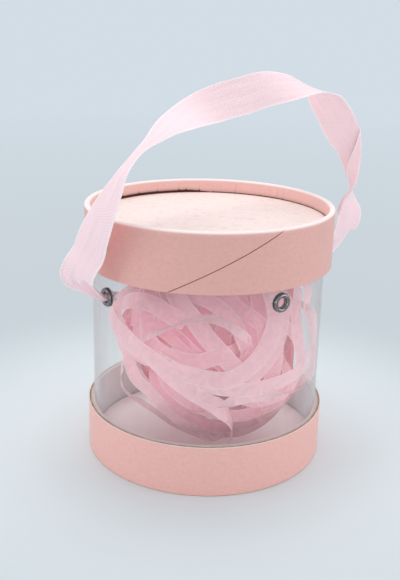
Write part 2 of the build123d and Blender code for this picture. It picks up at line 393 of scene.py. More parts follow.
def makeClearSheet(look):
    # thin clear sheet: almost nothing face on, a pale gleam where it turns away, faint upright streaks
    made, tree, shader = startMaterial("clearSheet")
    upright = addNode(tree, "Mapping", {"Vector": objectPlace(tree), "Scale": (1, 1, 0.06)}).outputs[0]
    streak = noise(tree, upright, 140.0, 3.0)
    facing = addNode(tree, "LayerWeight", {"Blend": 0.5}).outputs["Facing"]
    steep = calculate(tree, "POWER", facing, look["falloff"])
    veil = mapRange(tree, steep, 0, 1, look["faceOn"], look["edgeOn"])
    smear = mapRange(tree, streak, 0.35, 0.75, 0.7, 1.5)
    alpha = calculate(tree, "MULTIPLY", veil, smear, clamp=True)
    fillSockets(tree, shader, {
        "Base Color": srgb(look["tint"]),
        "Alpha": passLight(tree, alpha, look["passed"]),
        "Roughness": mapRange(tree, streak, 0.3, 0.7, 0.04, 0.12),
        "IOR": 1.55,
        "Specular IOR Level": 0.8,
        "Normal": bump(tree, streak, 0.00004),
    })
    return made


clearSheet = makeClearSheet({"tint": (210, 212, 214), "faceOn": 0.055, "edgeOn": 0.7, "falloff": 3.6,
                             "passed": 0.0})


# Thread pattern: ribs across a strip, for the ribbon, and streaks along it, for the tissue too
def makeThreads():
    group, entry, leave = startGroup(
        "threads",
        [("UV", "Vector", None), ("Ribs", "Float", 1000.0), ("Slant", "Float", 0.3),
         ("Streaks", "Float", 900.0)],
        ["Rib", "Streak"],
    )
    given = entry.outputs
    split = addNode(group, "SeparateXYZ", {0: given["UV"]}).outputs
    slanted = calculate(group, "MULTIPLY_ADD", split["X"], given["Slant"], split["Y"])
    wave = calculate(group, "SINE", calculate(group, "MULTIPLY", slanted, given["Ribs"]))
    longWay = addNode(group, "Mapping", {"Vector": given["UV"], "Scale": (1, 0.05, 1)}).outputs[0]
    streak = noise(group, longWay, given["Streaks"], 4.0, roughness=0.6)
    fillSockets(group, leave, {"Rib": mapRange(group, wave, -1, 1, 0, 1), "Streak": streak})
    return group


threads = makeThreads()


def makeSatin(look):
    # finely ribbed satin with paler selvedges
    made, tree, shader = startMaterial("satinRibbon")
    weave = useGroup(tree, threads, {"UV": stripPlace(tree), "Ribs": 2 * math.pi / look["ribPitch"],
                                     "Slant": look["slant"], "Streaks": 800.0})
    colour = mixColour(tree, weave["Rib"], srgb(look["dark"]), srgb(look["light"]))
    colour = shadeColour(tree, colour, mapRange(tree, weave["Streak"], 0.3, 0.7, 0.95, 1.05))
    colour = mixColour(tree, readMark(tree, "edge"), colour, srgb(look["selvedge"]))
    height = calculate(tree, "MULTIPLY_ADD", weave["Rib"], 1.5, weave["Streak"])
    fillSockets(tree, shader, {
        "Base Color": colour,
        "Roughness": mapRange(tree, weave["Streak"], 0.3, 0.7, 0.42, 0.54),
        "Specular IOR Level": 0.5,
        "Sheen Weight": 0.35,
        "Sheen Roughness": 0.35,
        "Normal": bump(tree, height, 0.00001),
    })
    return made


satinRibbon = makeSatin({"light": (255, 229, 235), "dark": (252, 218, 226), "selvedge": (255, 243, 247),
                         "ribPitch": 0.0011, "slant": 0.6})


def makeTissue(look):
    # thin tissue in clouds of thicker and thinner pulp, with pale cut edges, in tones from deep to pale that
    # are partly painted shade
    made, tree, shader = startMaterial("tissueShred")
    uv = stripPlace(tree)
    weave = useGroup(tree, threads, {"UV": uv, "Streaks": 420.0})
    cloud = noise(tree, uv, 150.0, 3.0, distortion=1.5)
    # deep to pale tone: random on the loose strips, partly painted shade on the strips laid in front
    colour = mixColour(tree, readMark(tree, "tone"), srgb(look["deep"]), srgb(look["pale"]))
    colour = shadeColour(tree, colour, mapRange(tree, weave["Streak"], 0.3, 0.7, 0.985, 1.015))
    cutEdge = mapRange(tree, readMark(tree, "edge"), 0, 1, 0, 0.85)
    colour = mixColour(tree, cutEdge, colour, srgb(look["cut"]))
    pulp = mapRange(tree, cloud, 0.35, 0.65, look["thin"], look["thick"])
    # light that has passed four faces of tissue stops at the next, and doesn't end in the dark
    crossed = addNode(tree, "LightPath").outputs["Transparent Depth"]
    stopped = mapRange(tree, crossed, 3, 4, 0, 1)
    fillSockets(tree, shader, {
        "Base Color": colour,
        "Alpha": calculate(tree, "MAXIMUM", passLight(tree, pulp, look["passed"]), stopped),
        "Roughness": 0.6,
        "Specular IOR Level": 0.25,
        "Sheen Weight": 0.2,
        "Normal": bump(tree, cloud, 0.0002),
    })
    return made


tissueShred = makeTissue({"deep": (250, 160, 178), "pale": (255, 212, 219), "cut": (255, 234, 238),
                          "thin": 0.6, "thick": 0.76, "passed": 0.02})


# Turned shells: a circle is extruded loop by loop along a section, from the first point to the last
def turnSection(name, points, columns):
    bpy.ops.object.select_all(action="DESELECT")
    radius, height = points[0]
    bpy.ops.mesh.primitive_circle_add(vertices=columns, radius=radius, fill_type="NOTHING",
                                      location=(0, 0, height))
    piece = bpy.context.object
    piece.name = name
    bpy.ops.object.transform_apply(location=True, rotation=True, scale=True)
    bpy.ops.object.mode_set(mode="EDIT")
    bpy.ops.mesh.select_all(action="SELECT")
    for nextRadius, nextHeight in points[1:]:
        rise = nextHeight - height
        bpy.ops.mesh.extrude_region_move(TRANSFORM_OT_translate={"value": (0, 0, rise)})
        grow = nextRadius / radius
        bpy.ops.transform.resize(value=(grow, grow, 1), center_override=(0, 0, 0))
        radius, height = nextRadius, nextHeight
    bpy.ops.mesh.select_all(action="SELECT")
    bpy.ops.mesh.remove_doubles(threshold=1e-6)
    bpy.ops.mesh.normals_make_consistent(inside=False)
    bpy.ops.object.mode_set(mode="OBJECT")
    return piece


def roundCorner(centre, radius, start, end, steps):
    # points of an arc in a section, from one angle to another
    points = []
    for step in range(steps + 1):
        turn = math.radians(start + (end - start) * step / steps)
        points.append((centre[0] + radius * math.cos(turn), centre[1] + radius * math.sin(turn)))
    return points


def runOn(points, end, steps):
    # carries a section straight on from its last point
    x, y = points[-1]
    points += [(x + (end[0] - x) * i / steps, y + (end[1] - y) * i / steps) for i in range(1, steps + 1)]


def angleGap(first, second):
    # signed gap between two angles, in degrees
    return (first - second + 180) % 360 - 180


def readPolar(place):
    return math.hypot(place.x, place.y), math.degrees(math.atan2(place.y, place.x))


def putPolar(place, radius, angle):
    place.x = radius * math.cos(math.radians(angle))
    place.y = radius * math.sin(math.radians(angle))


# Both cover papers are closed by one slanted joint with a thin raised lip
wrapValues = {
    "paper": 0.00025,
    "columns": 720,
    "slant": 2170.0,  # degrees round the box for each metre of height
    "lip": 0.00016,
    "lipSpread": 8.0,  # degrees over which the lip falls away
    "groove": 0.00022,
    # the mesh's four columns next to the joint, and their places in shares of its width
    "nearColumns": {-2: -2.2, -1: -0.98, 0: 0.98, 1: 1.4},
}


def shapeJoint(angle, height, values):
    # a column's new angle at this height, the paper's shift outwards and the strength of the joint's line
    gap = angleGap(angle, values["jointFoot"])
    width = values["jointWidth"]
    column = round(gap * wrapValues["columns"] / 360)
    if column in wrapValues["nearColumns"]:
        gap = wrapValues["nearColumns"][column] * width
    angle = values["jointFoot"] + gap + wrapValues["slant"] * height
    if abs(gap) < width:
        return angle, -wrapValues["groove"], 1.0
    if 0 < gap < wrapValues["lipSpread"]:
        return angle, wrapValues["lip"] * (1 - gap / wrapValues["lipSpread"]) ** 2, 0.0
    return angle, 0.0, 0.0


def finishWrap(piece, body, stands, shapePoint, *given):
    # each point of a wrap is shaped and marked for painted shade and the joint's dark line, and for a pale
    # cut edge and painted highlight, and the paper thickened
    jointsAndShade = []
    cutsAndHighlights = []
    for vertex in piece.data.vertices:
        jointAndShade, cut = shapePoint(vertex.co, *readPolar(vertex.co), *given)
        jointsAndShade.append(jointAndShade)
        cutsAndHighlights.append(cut)
    writeMarks(piece, "jointAndShade", jointsAndShade)
    writeMarks(piece, "cut", cutsAndHighlights)
    giveThickness(piece, wrapValues["paper"], -1)
    finishPiece(piece, body, coverPaper, stands)


# Lid wrap: its paper is pleated where it turns into the recess, and ends in a band above the facing
lidWrapValues = {
    "wall": 0.0023,  # both papers and the board between them
    "rimRound": 0.00105,
    "jointFoot": 218.1,  # degrees round the lid, at the bottom edge
    "jointWidth": 0.2,  # degrees
    "jointFade": 0.002,
    # angle, strength of the line and of the notch below it, read off the far inner side
    "seenPleats": ((95.9, 0.1, 0.9), (84.2, 0.3, 0.5), (71.9, 0.25, 0.9), (67.8, 0.1, 1.0), (60.4, 0.3, 1.0),
                   (53.0, 0.1, 0.3), (40.5, 0.8, 0.4), (26.5, 0.1, 0.2), (15.6, 0.8, 0.3)),
    "pleatGap": (7.0, 14.0),  # the others lie this far apart, with lines and notches this strong
    "pleatLine": (0.05, 0.6),
    "pleatNotch": (0.1, 0.9),
    "pleatStart": 0.0004,  # below the rim
    "pleatWidth": 1.3,  # columns of the mesh
    "pleatDepth": 0.0002,
    "pleatBulge": (-0.00004, 0.00008),
    "lineShade": 0.5,
    "notchShade": 0.8,
    "notchLift": 0.0005,
    "bandLift": (0.00015, 0.00035),
    "liftedFrom": 54.0,  # the band stands furthest off the facing between these angles
    "liftedTo": 140.0,
    "liftedFade": 12.0,
    "liftedMore": 0.0008,
    "edgeShade": 0.55,  # of the band's lower edge, and more where it stands furthest off
    "liftedShade": 0.4,
    "rimWear": 0.9,  # painted highlight: the rim is painted pale, and most so on its top
    "rimWearRise": 1.7,
    "bandTone": 0.16,  # painted light makes the band a little paler than the side, and painted shade makes the side a little deeper
    "sideTone": 0.18,
}


def listPleats(values):
    # each pleat's angle, line and notch, the bulge of the paper beside it and the lift of the band there
    pleats = sorted(values["seenPleats"])
    first = pleats[0][0]
    angle = pleats[-1][0]
    while angle < first + 360 - values["pleatGap"][1]:
        angle += random.uniform(*values["pleatGap"])
        pleats.append((angle, random.uniform(*values["pleatLine"]), random.uniform(*values["pleatNotch"])))
    bulges = [random.uniform(*values["pleatBulge"]) for _ in pleats]
    lifts = [random.uniform(*values["bandLift"]) for _ in pleats]
    return [(*pleat, bulge, lift) for pleat, bulge, lift in zip(pleats, bulges, lifts)]


def shapeSide(place, radius, angle, values):
    # the lid's side, where the joint fades out below the rim, painted a little deeper as shade
    angle, shift, line = shapeJoint(angle, place.z - lidBottom, values)
    fade = min(1.0, (lidTop - place.z) / values["jointFade"])
    putPolar(place, radius + shift * fade, angle)
    # painted shade: the whole side is painted a little deeper, fading out below the rim
    return fade * max(line, values["sideTone"])


def shapeBand(place, radius, angle, values, pleats):
    # the paper inside the rim, with its pleats, the lift of its lower edge, and painted shade in the pleats
    # and along that edge
    angle += wrapValues["slant"] * (lidTop - lidBottom)
    gaps = [angleGap(angle, pleat[0]) for pleat in pleats]
    nearest = min(range(len(pleats)), key=lambda i: abs(gaps[i]))
    beside = min((i for i in range(len(pleats)) if gaps[i] > 0), key=lambda i: gaps[i], default=0)
    bandTop = lidTop - values["rimRound"]
    bandFoot = facingTop + values["bandLift"][0]
    down = keepShare((lidTop - values["pleatStart"] - place.z) / (lidTop - bandFoot))
    groove = max(0.0, 1 - abs(gaps[nearest]) / (360 / wrapValues["columns"] * values["pleatWidth"]))
    line = groove * pleats[nearest][1]
    notch = groove * pleats[nearest][2]
    radius += down * (line * values["pleatDepth"] + pleats[beside][3])
    # painted shade in the pleat lines and in the notches below them
    jointAndShade = min(1.0, line * down * values["lineShade"] + notch * down ** 6 * values["notchShade"])
    if place.z < bandTop:
        share = (bandTop - place.z) / (bandTop - bandFoot)
        turned = angleGap(angle, 0)
        within = min(turned - values["liftedFrom"], values["liftedTo"] - turned)
        lifted = keepShare(within / values["liftedFade"])
        rise = pleats[beside][4] - values["bandLift"][0] + lifted * values["liftedMore"]
        place.z += share * (rise + notch * values["notchLift"])
        # painted shade along the band's lower edge, deepest where it stands furthest off the facing
        jointAndShade = max(jointAndShade, (values["edgeShade"] + values["liftedShade"] * lifted) * share ** 7)
    putPolar(place, radius, angle)
    return jointAndShade


def shapeLidPoint(place, radius, angle, values, pleats):
    if radius > lidOuter - values["wall"] / 2:
        jointAndShade = shapeSide(place, radius, angle, values)
        pale = 0.0
    else:
        jointAndShade = shapeBand(place, radius, angle, values, pleats)
        # painted light: the band inside the rim is painted a little paler
        pale = values["bandTone"]
    # painted highlight on the rim, strongest on its top
    above = (place.z - (lidTop - values["rimRound"])) / values["rimRound"]
    return jointAndShade, max(pale, values["rimWear"] * keepShare(values["rimWearRise"] * above))


def makeLidWrap(values):
    inner = lidOuter - values["wall"]
    bend = values["rimRound"]
    bandTop = lidTop - bend
    points = [(lidOuter, lidBottom)]
    runOn(points, (lidOuter, bandTop), 22)
    points += roundCorner((lidOuter - bend, bandTop), bend, 0, 90, 6)[1:]
    points += roundCorner((inner + bend, bandTop), bend, 90, 180, 6)
    runOn(points, (inner, facingTop + values["bandLift"][0]), 8)
    piece = turnSection("lidWrap", points, wrapValues["columns"])
    finishWrap(piece, "lid", ["lid_wrap"], shapeLidPoint, values, listPleats(values))


makeLidWrap(lidWrapValues)
print("lid wrapped")


# Base wrap: plain on top, where it is cut level with the board, and turned in underneath
baseWrapValues = {
    "edgeRound": 0.0006,
    "turnIn": 0.00205,
    "jointFoot": 100.0,
    "jointWidth": 0.24,
    "tucks": 40,
    "tuckWander": 40.0,  # degrees of each tuck's own round
    "tuckDepth": 0.00012,
    "tuckShade": 0.5,
    "cutHeight": 0.00035,
    "cutTone": 0.8,
}


def shapeBasePoint(place, radius, angle, values):
    if radius > baseOuter - values["edgeRound"] / 2:
        angle, shift, jointAndShade = shapeJoint(angle, place.z, values)
        radius += shift
    else:
        wander = values["tuckWander"] * math.sin(math.radians(angle * 3))
        tuck = max(0.0, math.cos(math.radians(angle * values["tucks"] + wander)))
        place.z += values["tuckDepth"] * tuck ** 8
        # painted shade in the tucks
        jointAndShade = values["tuckShade"] * tuck ** 12
    putPolar(place, radius, angle)
    raw = place.z > baseTop - values["cutHeight"] / 2
    return jointAndShade, values["cutTone"] if raw else 0.0


def makeBaseWrap(values):
    bend = values["edgeRound"]
    points = [(baseOuter, baseTop), (baseOuter, baseTop - values["cutHeight"])]
    runOn(points, (baseOuter, bend), 20)
    points += roundCorner((baseOuter - bend, bend), bend, 0, -90, 5)[1:]
    runOn(points, (baseOuter - values["turnIn"], 0), 4)
    piece = turnSection("baseWrap", points, wrapValues["columns"])
    finishWrap(piece, "box", ["base_wrap"], shapeBasePoint, values)


makeBaseWrap(baseWrapValues)
print("base wrapped")


# Eyelets: a domed flange, a smooth barrel and the roll that closes it on its washer
eyeletValues = {
    "bore": 0.0020,
    "flange": 0.00375,
    "dome": 0.0008,
    "wall": 0.0003,
    "roll": 0.0030,
    "rollMiddle": 0.0004,  # both from the eyelet's inner end
    "boreStart": 0.0002,
    "columns": 64,
    "turns": {"left": 180, "right": 0, "front": 270, "back": 90},
}


def makeEyelets(values):
    bore = values["bore"]
    flange = values["flange"]
    roll = values["roll"]
    barrel = bore + values["wall"]
    back = eyeletOuter - values["dome"]
    start = eyeletInner + values["boreStart"]
    rollMiddle = eyeletInner + values["rollMiddle"]
    # the section runs along the eyelet's own axis, which is Z until the piece is turned
    points = [(bore, start)]
    runOn(points, (bore, back), 2)
    for step in range(1, 11):
        turn = math.radians(180 - 18 * step)
        across = (bore + flange) / 2 + (flange - bore) / 2 * math.cos(turn)
        points.append((across, back + values["dome"] * math.sin(turn)))
    points += [(flange - values["wall"], back), (barrel, back)]
    runOn(points, (barrel, rollMiddle), 2)
    points += roundCorner(((barrel + roll) / 2, rollMiddle), (roll - barrel) / 2, 180, 0, 6)[1:]
    points += roundCorner(((bore + roll) / 2, rollMiddle), (roll - bore) / 2, 0, -180, 8)[1:]
    points.append((bore, start))
    for side, turn in values["turns"].items():
        piece = turnSection(f"eyelet{side.capitalize()}", points, values["columns"])
        upright = Matrix.Rotation(math.radians(90), 4, "Y")
        around = Matrix.Rotation(math.radians(turn), 4, "Z")
        low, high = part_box(f"eyelet_{side}")
        piece.data.transform(Matrix.Translation((0, 0, (low.z + high.z) / 2)) @ around @ upright)
        smoothFaces(piece, 60)
        finishPiece(piece, "box", eyeletMetal, [f"eyelet_{side}"])


makeEyelets(eyeletValues)
print("eyelets set")


# Strips: both the ribbon and the tissue are built from stations along a line
def smoothBetween(before, start, end, after, t):
    linear = (end - before) * t
    square = (2 * before - 5 * start + 4 * end - after) * t ** 2
    cube = (3 * start - before - 3 * end + after) * t ** 3
    return start + (linear + square + cube) / 2


def smoothRows(rows, steps):
    # finer rows on a smooth curve through the given ones
    last = len(rows) - 1
    smooth = []
    for i in range(last):
        near = (rows[max(i - 1, 0)], rows[i], rows[i + 1], rows[min(i + 2, last)])
        for step in range(steps):
            smooth.append([smoothBetween(*values, step / steps) for values in zip(*near)])
    smooth.append(list(rows[last]))
    return smooth


def runAt(rows, i):
    # the way a line runs, from the row before to the row after
    ahead = Vector(rows[min(i + 1, len(rows) - 1)][:3])
    behind = Vector(rows[max(i - 1, 0)][:3])
    return (ahead - behind).normalized()


def shareAcross(i, across):
    # evenly spaced over the width, but the second point from each edge lies close to it
    close = 0.06
    if i in (1, across - 2):
        return close if i == 1 else 1 - close
    return i / (across - 1)


def foldOver(past, radius):
    # how far in and up a point lies that is this far past a fold
    if past < math.pi * radius:
        return -radius * math.sin(past / radius), radius * (1 - math.cos(past / radius))
    return past - math.pi * radius, 2 * radius


def stripPoints(station, width, across):
    # one line of points across a strip that is drawn in to a share of its width: in folds where bunch
    # is above nothing, or with one edge turned over, on a round of that size, where it is below
    centre, wideWay, outWay, gather, bunch, curl = station
    points = []
    folds = 3
    firstFold = 0.6  # radians
    crest = 0.97  # at 1 the folds are sharp
    narrow = width * gather
    foldHeight = max(bunch, 0) * math.sqrt(max(width ** 2 - narrow ** 2, 0)) / (4 * folds)
    for i in range(across):
        u = shareAcross(i, across) - 0.5
        wave = math.asin(math.sin(2 * math.pi * folds * u + firstFold) * crest) / (math.pi / 2)
        side = u * narrow
        lift = foldHeight * wave
        if bunch < 0:
            along = (u + 0.5) * width - (width - narrow)
            inward, lift = foldOver(-along, -bunch) if along < 0 else (along, 0.0)
            side = inward - narrow / 2
        elif abs(curl) > 0.01:
            bend = curl * u
            side = narrow / curl * math.sin(bend)
            lift += narrow / curl * (1 - math.cos(bend))
        points.append(centre + wideWay * side + outWay * lift)
    return points


def startStrips():
    return {"points": [], "faces": [], "uvs": [], "tonesAndShade": [], "edges": []}


def addStrip(strips, stations, width, across, tone=0.5):
    base = len(strips["points"])
    along = 0.0
    previous = stations[0][0]
    for station in stations:
        along += (station[0] - previous).length
        previous = station[0]
        for i, point in enumerate(stripPoints(station, width, across)):
            strips["points"].append(point)
            strips["uvs"].append((width * shareAcross(i, across), along))
            strips["tonesAndShade"].append(tone)
            strips["edges"].append(1.0 if i in (0, across - 1) else 0.0)
    for row in range(len(stations) - 1):
        for i in range(across - 1):
            a = base + row * across + i
            strips["faces"].append((a, a + 1, a + across + 1, a + across))


def buildStrips(strips, name, thickness):
    mesh = bpy.data.meshes.new(name)
    mesh.from_pydata(strips["points"], [], strips["faces"])
    layer = mesh.uv_layers.new(name="strip")
    for loop in mesh.loops:
        layer.data[loop.index].uv = strips["uvs"][loop.vertex_index]
    piece = bpy.data.objects.new(name, mesh)
    bpy.context.scene.collection.objects.link(piece)
    writeMarks(piece, "tone", strips["tonesAndShade"])
    writeMarks(piece, "edge", strips["edges"])
    giveThickness(piece, thickness, 0)
    return piece


# Ribbon handle. Rows as in the frame's own ribbon: out along X and Y in shares of the lid's
# radius, up in shares of the ribbon's rise, turn in degrees, gathered width as a share
ribbonValues = {
    "width": 0.015,
    "thickness": 0.00035,
    "headroom": 0.0444,
    "neckGather": 0.16,
    "neckReach": (0.0006, 0.0012),  # how far the gathered neck runs out of the eyelet, and in
    "endBunch": 1.0,  # share of its full folds near the eyelets, and along the loop
    "loopBunch": 0.25,
    "bunchRows": 5.0,
    "bunchFade": 2.0,
    "cup": 0.12,
    "foldedRows": (20, 26),  # between these rows one edge lies folded over the front
    "foldRound": 0.0006,
    "across": 25,
    "steps": 8,
    "route": [
        (-1.09, 0.00, 0.05, 25, 0.50),
        (-1.19, 0.00, 0.11, 32, 0.90),
        (-1.20, -0.06, 0.18, 23, 1.00),
        (-1.16, -0.13, 0.27, 19, 1.00),
        (-1.15, -0.22, 0.376, 11, 1.00),
        (-1.12, -0.30, 0.488, 3, 1.00),
        (-1.06, -0.33, 0.586, -3, 0.90),
        (-0.98, -0.32, 0.666, -13, 0.75),
        (-0.83, -0.26, 0.731, -16, 0.66),
        (-0.63, -0.18, 0.785, -2, 0.75),
        (-0.42, -0.09, 0.84, 20, 0.90),
        (-0.18, -0.03, 0.89, 38, 1.00),
        (0.07, 0.00, 0.93, 61, 1.00),
        (0.31, 0.00, 0.96, 70, 1.00),
        (0.53, 0.00, 0.99, 60, 1.00),
        (0.75, 0.00, 1.00, 42, 1.00),
        (0.93, 0.00, 1.00, 22, 1.00),
        (1.08, 0.00, 0.97, 0, 1.00),
        (1.20, 0.01, 0.91, -29, 1.00),
        (1.31, 0.01, 0.83, -44, 1.00),
        (1.41, 0.01, 0.74, -60, 1.00),
        (1.48, -0.01, 0.64, -56, 0.72),
        (1.49, -0.06, 0.54, -18, 0.52),
        (1.47, -0.12, 0.44, 26, 0.50),
        (1.44, -0.13, 0.34, 82, 0.66),
        (1.44, -0.14, 0.26, 89, 0.96),
        (1.41, -0.12, 0.17, 80, 1.00),
        (1.38, -0.04, 0.09, 65, 0.85),
        (1.24, 0.00, 0.04, 90, 0.60),
        (1.11, 0.00, 0.015, 90, 0.40),
    ],
    "knotGap": 0.0003,
    "knotReach": 0.0036,
    "knotSize": 0.0017,
    "knotStretch": 1.4,
    "knotFrom": 0.4,  # radians, where the tail begins on the knot's closed curve
    "knotTurned": 0.86,  # share of that curve which the ribbon follows
    "knotGather": 0.09,
    "knotBunch": 0.4,
    "knotAcross": 13,
    "knotSteps": 40,
}


def stripFrame(run, turn):
    across = (Vector((0, 1, 0)) - run * run.y).normalized()
    outward = across.cross(run) * -1
    wideWay = across * math.cos(turn) + outward * math.sin(turn)
    return wideWay, wideWay.cross(run).normalized()


def knotStations(side, values, turn):
    # a small overhand knot, from its tail to the bore of the eyelet
    reach = eyeletInner - values["knotGap"] - values["knotReach"] / 2
    centre = Vector((side * reach, 0, eyeletHeight))
    size = values["knotSize"] / 3
    places = []
    for i in range(values["knotSteps"] + 1):
        t = values["knotFrom"] + 2 * math.pi * values["knotTurned"] * i / values["knotSteps"]
        flat = (math.sin(t) + 2 * math.sin(2 * t), math.cos(t) - 2 * math.cos(2 * t), -math.sin(3 * t))
        inward = side * flat[2] * size * values["knotStretch"]
        places.append(centre + Vector((inward, flat[0] * size, flat[1] * size)))
    made = []
    for i, place in enumerate(places):
        wideWay, outWay = stripFrame(runAt(places, i), turn)
        made.append((place, wideWay, outWay, values["knotGather"], values["knotBunch"], 0.0))
    return made


def makeRibbon(values):
    rise = lidTop - eyeletHeight + values["headroom"]
    rows = []
    for outX, outY, up, turn, gather in values["route"]:
        rows.append((outX * lidOuter, outY * lidOuter, eyeletHeight + up * rise, turn, gather))
    turns = {-1: rows[0][3], 1: rows[-1][3]}
    necks = {}
    for side, turn in turns.items():
        reaches = (eyeletOuter + values["neckReach"][0], eyeletInner - values["neckReach"][1])
        necks[side] = [(side * reach, 0, eyeletHeight, turn, values["neckGather"]) for reach in reaches]
    smooth = smoothRows(necks[-1][::-1] + rows + necks[1], values["steps"])
    stations = []
    for i, (x, y, z, turn, gather) in enumerate(smooth):
        wideWay, outWay = stripFrame(runAt(smooth, i), math.radians(turn))
        rowsIn = min(i, len(smooth) - 1 - i) / values["steps"]
        nearEnd = keepShare((values["bunchRows"] - rowsIn) / values["bunchFade"]) ** 2
        bunch = values["loopBunch"] + (values["endBunch"] - values["loopBunch"]) * nearEnd
        row = i / values["steps"] - 2  # the neck has the first two rows
        if values["foldedRows"][0] < row < values["foldedRows"][1]:
            bunch = -values["foldRound"]
        stations.append((Vector((x, y, z)), wideWay, outWay, gather, bunch, values["cup"]))
    strips = startStrips()
    addStrip(strips, stations, values["width"], values["across"])
    for side, turn in turns.items():
        knot = knotStations(side, values, math.radians(turn))
        addStrip(strips, knot, values["width"], values["knotAcross"])
    length = sum((b[0] - a[0]).length for a, b in zip(stations, stations[1:]))
    print("ribbon length", round(length, 4))
    piece = buildStrips(strips, "ribbonHandle", values["thickness"])
    finishPiece(piece, "handle", satinRibbon, ["ribbon_handle"])


makeRibbon(ribbonValues)
print("ribbon hung")


# Shredded tissue: strips read off the photo lie on the front of the nest, and loose ones fill it
nestValues = {
    "centre": (0.0030, 0.0, 0.0475),  # in the photo's own directions: right, away, up
    "reach": (0.0425, 0.0425, 0.0430),
    "wallGap": 0.0010,  # from the tube's outer face
    "floorGap": 0.0006,
    "pitch": 0.0011,  # from one layer to the next
    "thickness": 0.00007,
    "across": 7,
    "steps": 7,
    "twistRipple": (4.0, 0.23),  # degrees, and how fast it comes and goes along a strip
    "liftRipple": (0.0002, 0.4),
    "cupRipple": (0.14, 0.17),
    "endGather": 0.5,  # share of the width at a strip's ends, which widen over this many stations
    "endSteps": 24,
    "tucks": ((0.006, 0.003), (0.010, 0.009)),  # how far a tucked end runs on, and in
    "facing": 0.4,  # how far the strips seen in front turn from the nest's surface to the camera
    "looseStrips": 57,
    "looseDepth": 3.6,  # layers in each of the three groups of loose strips
    "looseWidths": (0.0055, 0.0065, 0.0075, 0.0085),
    "looseTones": (0.1, 0.9),
    "looseSpan": (120, 230),
    "looseSwell": (0.03, 1.1),
    "looseSway": (0.05, 0.22),
    "swayPace": 0.75,
    "looseLean": (-12, 12),
    "leanPace": 0.6,
    "looseRows": 10,
    "turnRows": (3, 4, 5, 6, 99, 99, 99),  # where a strip turns over once, or never
    "topLimit": 0.088,
    # route in pixels of the photo, layer from the front, width in millimetres, tone (partly painted shade),
    # twist in degrees
    "seenStrips": [
        ([(110, 308), (115, 323), (125, 337), (138, 348), (152, 359), (166, 371), (179, 383), (193, 393),
          (207, 401), (219, 408), (227, 415), (232, 423), (232, 432), (229, 443)],
         0.0, 6.8, 0.9, (0, 0, 0, 0, 0, 0, 0, 0, 0, 20, 62, 78, 80, 80)),
        ([(111, 318), (118, 307), (129, 301), (142, 301), (156, 306), (170, 315)], 1.2, 6.6, 0.6, ()),
        ([(119, 300), (116, 312), (120, 326), (129, 340), (141, 353)], 1.8, 7.4, 0.5, ()),
        ([(122, 340), (127, 352), (130, 366), (137, 379), (148, 390), (158, 400), (170, 412), (185, 423),
          (203, 431), (223, 434), (243, 431), (262, 422), (276, 408)], 1.2, 6.1, 0.75, ()),
        ([(125, 352), (122, 368), (122, 384), (128, 394), (142, 402), (156, 412), (172, 423), (190, 432),
          (208, 438)], 2.0, 4.1, 0.9, (-30, -30, -20, -10, 0, 0, 0, 0, 0)),
        ([(270, 292), (274, 306), (275, 322), (270, 340), (259, 358), (245, 372), (229, 380), (212, 380),
          (194, 376), (176, 371), (160, 362)], 0.7, 6.8, 0.85, ()),
        ([(316, 322), (316, 336), (313, 350), (305, 364), (292, 376), (275, 384), (253, 389), (230, 390),
          (207, 386), (186, 378)], 0.9, 5.7, 0.95, ()),
        ([(318, 366), (306, 383), (290, 392), (270, 396), (250, 397), (233, 401), (219, 408), (205, 412)],
         0.3, 4.9, 0.95, (0, 40, 66, 20, 0, 10, 40, 60)),
        # painted shade: this strip takes the deepest tone where it lies in a band of shade
        ([(146, 290), (155, 303), (166, 315), (178, 327), (192, 340), (206, 351), (221, 362), (236, 374)],
         3.2, 6.6, 0.0, ()),
        ([(128, 345), (143, 338), (158, 332), (176, 325), (193, 320), (210, 319), (226, 324), (240, 333)],
         1.6, 3.7, 0.9, (20, 30, 45, 50, 40, 30, 20, 10)),
        ([(150, 292), (148, 305), (147, 320), (149, 336), (154, 350), (162, 362)], 2.2, 6.6, 0.35, ()),
        ([(176, 296), (184, 308), (194, 320), (204, 334), (216, 348), (230, 363), (244, 377), (256, 388)],
         2.4, 7.0, 0.65, ()),
        ([(298, 288), (297, 304), (296, 322), (299, 340), (301, 358), (298, 372), (290, 386), (276, 396),
          (258, 401)], 1.5, 5.7, 0.7, ()),
        ([(308, 290), (307, 306), (310, 322), (314, 338), (315, 354), (311, 370)], 1.8, 5.7, 0.75, ()),
        ([(236, 292), (242, 306), (247, 322), (250, 340), (248, 358), (240, 372)], 3.4, 6.6, 0.25, ()),
        ([(222, 290), (232, 302), (244, 312), (258, 322), (268, 334)], 2.8, 5.7, 0.4, ()),
        ([(255, 288), (258, 304), (260, 322), (258, 340), (252, 356)], 3.0, 5.7, 0.3, ()),
        ([(170, 386), (186, 400), (204, 410), (224, 415), (245, 415), (264, 409), (281, 398)],
         1.8, 5.7, 0.5, ()),
        ([(160, 390), (176, 407), (194, 419), (214, 426), (236, 427), (257, 421), (275, 409), (288, 394)],
         2.4, 5.7, 0.4, ()),
        ([(285, 384), (278, 398), (270, 410), (257, 420), (240, 427), (220, 430)], 2.0, 4.9, 0.6, ()),
        ([(140, 332), (152, 344), (166, 354), (182, 360), (198, 362), (214, 358)], 2.0, 6.1, 0.55, ()),
        ([(196, 296), (210, 302), (224, 312), (236, 326), (244, 342)], 2.6, 5.7, 0.55, ()),
        ([(286, 300), (284, 318), (280, 336), (272, 354), (260, 370), (246, 383)], 1.9, 5.7, 0.8, ()),
        ([(134, 318), (150, 322), (166, 330), (180, 342), (192, 354)], 2.9, 6.6, 0.3, ()),
    ],
}
photoTurn = Matrix.Rotation(math.radians(camera["azimuth"]), 3, "Z")  # the photo's directions in the frame


